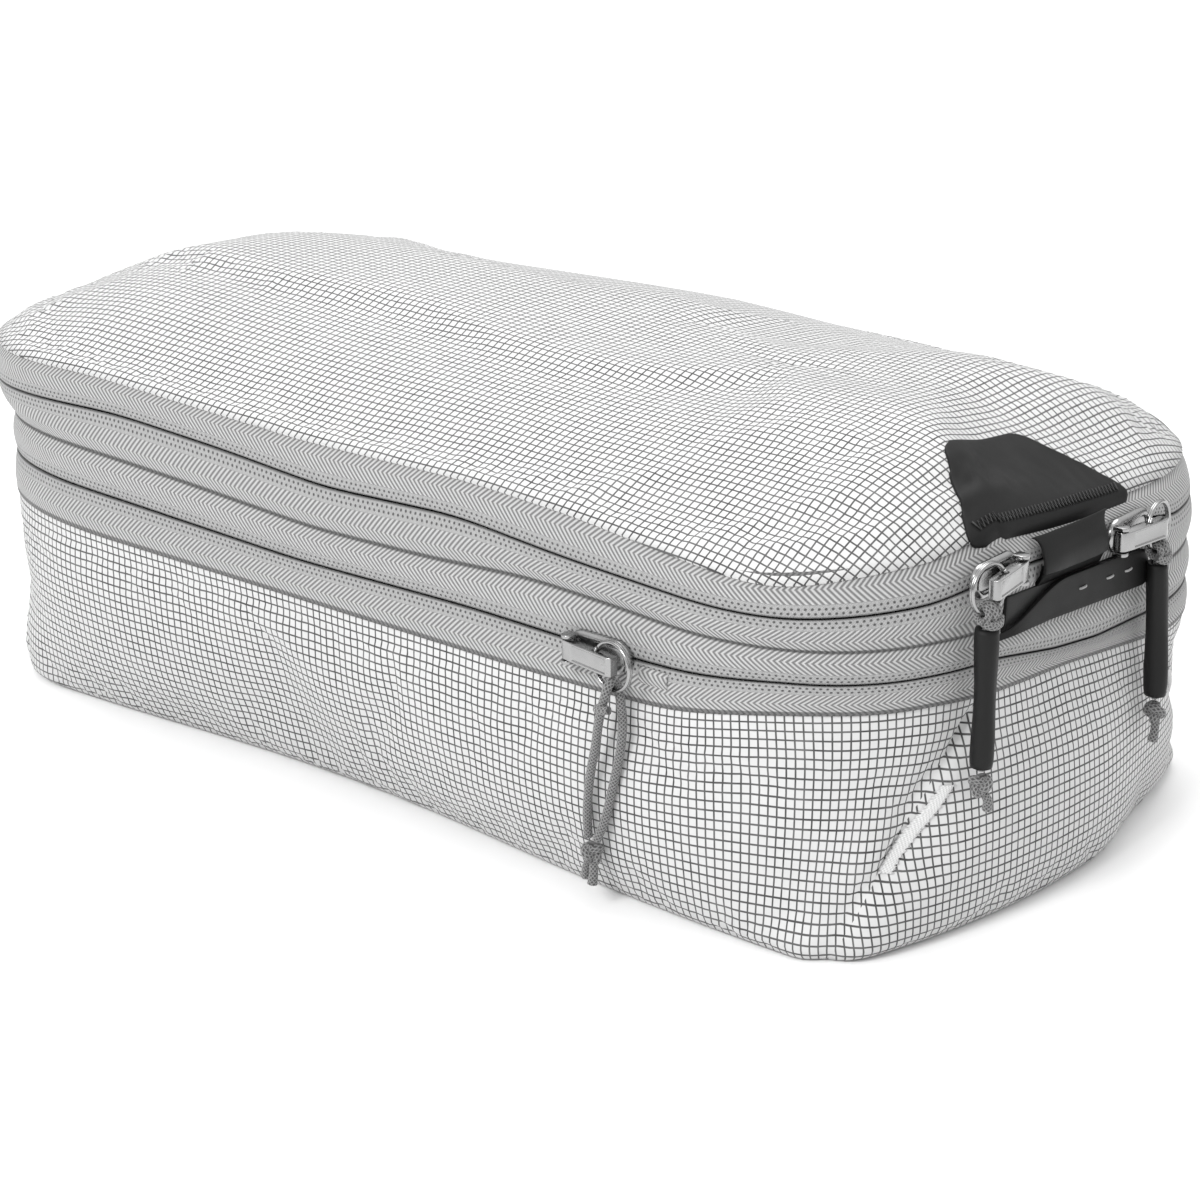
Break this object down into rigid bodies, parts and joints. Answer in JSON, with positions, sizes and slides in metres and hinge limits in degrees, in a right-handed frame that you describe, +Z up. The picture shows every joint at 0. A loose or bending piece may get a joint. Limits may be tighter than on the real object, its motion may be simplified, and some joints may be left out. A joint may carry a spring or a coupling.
{
  "type": "compression packing cube",
  "caption": "Rounded soft packing cube with a domed zip-off lid, a second expansion zip round the waist, a front pull tab, hanging zip pulls and a rear grab handle.",
  "frame": {"origin": "centre of the underside", "axes": "+X points to the front end with the main sliders and pull tab, +Y across, +Z up"},
  "size_m": [0.3555, 0.194, 0.1229],
  "materials": {
    "ripstop": "white ripstop with a fine dark square grid",
    "gusset_fabric": "plain light woven lining",
    "zip_tape": "mid-grey herringbone twill tape",
    "coil": "moulded dark coil",
    "coated": "black coated tab fabric",
    "webbing": "dark woven webbing",
    "bar_tack": "white sewn tab",
    "steel": "satin gunmetal",
    "cord": "grey braided cord",
    "sleeve": "soft black tube"
  },
  "bodies": {
    "base": {"lower_shell": "ripstop", "comp_tape_lower": "zip_tape", "comp_coil_lower": "coil", "comp_tape_end": "zip_tape", "bar_tack_front_left": "bar_tack", "bar_tack_front_right": "bar_tack", "bar_tack_rear_left": "bar_tack", "bar_tack_rear_right": "bar_tack", "expansion_gusset": "gusset_fabric"},
    "collar": {"comp_tape_upper": "zip_tape", "comp_coil_upper": "coil", "main_tape_lower": "zip_tape", "main_coil_lower": "coil", "lower_pull_tab": "coated", "lower_tab_fold": "coated", "handle_anchor_left": "webbing", "handle_anchor_right": "webbing"},
    "handle": {"rear_handle": "webbing"},
    "lid": {"lid_panel": "ripstop", "lid_tape": "zip_tape", "lid_coil": "coil", "lid_patch": "coated", "lid_tab_neck": "coated"},
    "slider_left_body": {"slider_left": "steel"},
    "puller_left_body": {"puller_left": "steel", "ring_left": "steel"},
    "pull_left_body": {"cord_left": "cord", "sleeve_left": "sleeve", "knot_left": "cord"},
    "slider_right_body": {"slider_right": "steel"},
    "puller_right_body": {"puller_right": "steel", "ring_right": "steel"},
    "pull_right_body": {"cord_right": "cord", "sleeve_right": "sleeve", "knot_right": "cord"},
    "slider_comp_body": {"slider_comp": "steel"},
    "puller_comp_body": {"puller_comp": "steel", "ring_comp": "steel"},
    "pull_comp_body": {"cord_comp": "cord", "knot_comp": "cord"}
  },
  "joints": [
    {"name": "expand", "type": "slide", "parent": "base", "child": "collar", "axis": [0, 0, 1], "range_m": [0, 0.045], "deforming": ["expansion_gusset"]},
    {"name": "handle_lift", "type": "hinge", "parent": "collar", "child": "handle", "pos_m": [-0.171, 0, 0.0862], "axis": [0, 1, 0], "range_deg": [0, 85]},
    {"name": "lid_open", "type": "hinge", "parent": "collar", "child": "lid", "pos_m": [-0.17, 0, 0.0933], "axis": [0, -1, 0], "range_deg": [0, 90]},
    {"name": "unzip_left", "type": "hinge", "parent": "collar", "child": "slider_left_body", "pos_m": [0.11, -0.032, 0.0933], "axis": [0, 0, -1], "range_deg": [0, 75]},
    {"name": "puller_left_flip", "type": "hinge", "parent": "slider_left_body", "child": "puller_left_body", "pos_m": [0.1744, -0.0318, 0.0933], "axis": [0, 0, 1], "range_deg": [0, 100]},
    {"name": "pull_left_swing", "type": "hinge", "parent": "puller_left_body", "child": "pull_left_body", "pos_m": [0.17516, -0.04822, 0.08695], "axis": [-0.1045, -0.9945, 0], "range_deg": [-1, 80]},
    {"name": "unzip_right", "type": "hinge", "parent": "collar", "child": "slider_right_body", "pos_m": [0.11, 0.032, 0.0933], "axis": [0, 0, 1], "range_deg": [0, 75]},
    {"name": "puller_right_flip", "type": "hinge", "parent": "slider_right_body", "child": "puller_right_body", "pos_m": [0.1744, 0.0158, 0.0933], "axis": [0, 0, -1], "range_deg": [0, 100]},
    {"name": "pull_right_swing", "type": "hinge", "parent": "puller_right_body", "child": "pull_right_body", "pos_m": [0.17516, 0.03222, 0.08695], "axis": [0.1045, -0.9945, 0], "range_deg": [-1, 80]},
    {"name": "unzip_comp", "type": "slide", "parent": "base", "child": "slider_comp_body", "axis": [-1, 0, 0], "range_m": [0, 0.175]},
    {"name": "puller_comp_flip", "type": "hinge", "parent": "slider_comp_body", "child": "puller_comp_body", "pos_m": [0.0788, -0.0964, 0.0701], "axis": [0, 0, -1], "range_deg": [0, 100]},
    {"name": "pull_comp_swing", "type": "hinge", "parent": "puller_comp_body", "child": "pull_comp_body", "pos_m": [0.09519, -0.0987, 0.06375], "axis": [-0.9903, 0.1392, 0], "range_deg": [0, 80]}
  ],
  "couplings": [
    {"joint": "unzip_left", "follows": "lid_open", "ratio": 0.8},
    {"joint": "unzip_right", "follows": "lid_open", "ratio": 0.8},
    {"joint": "unzip_comp", "follows": "expand", "ratio": 3.8}
  ]
}
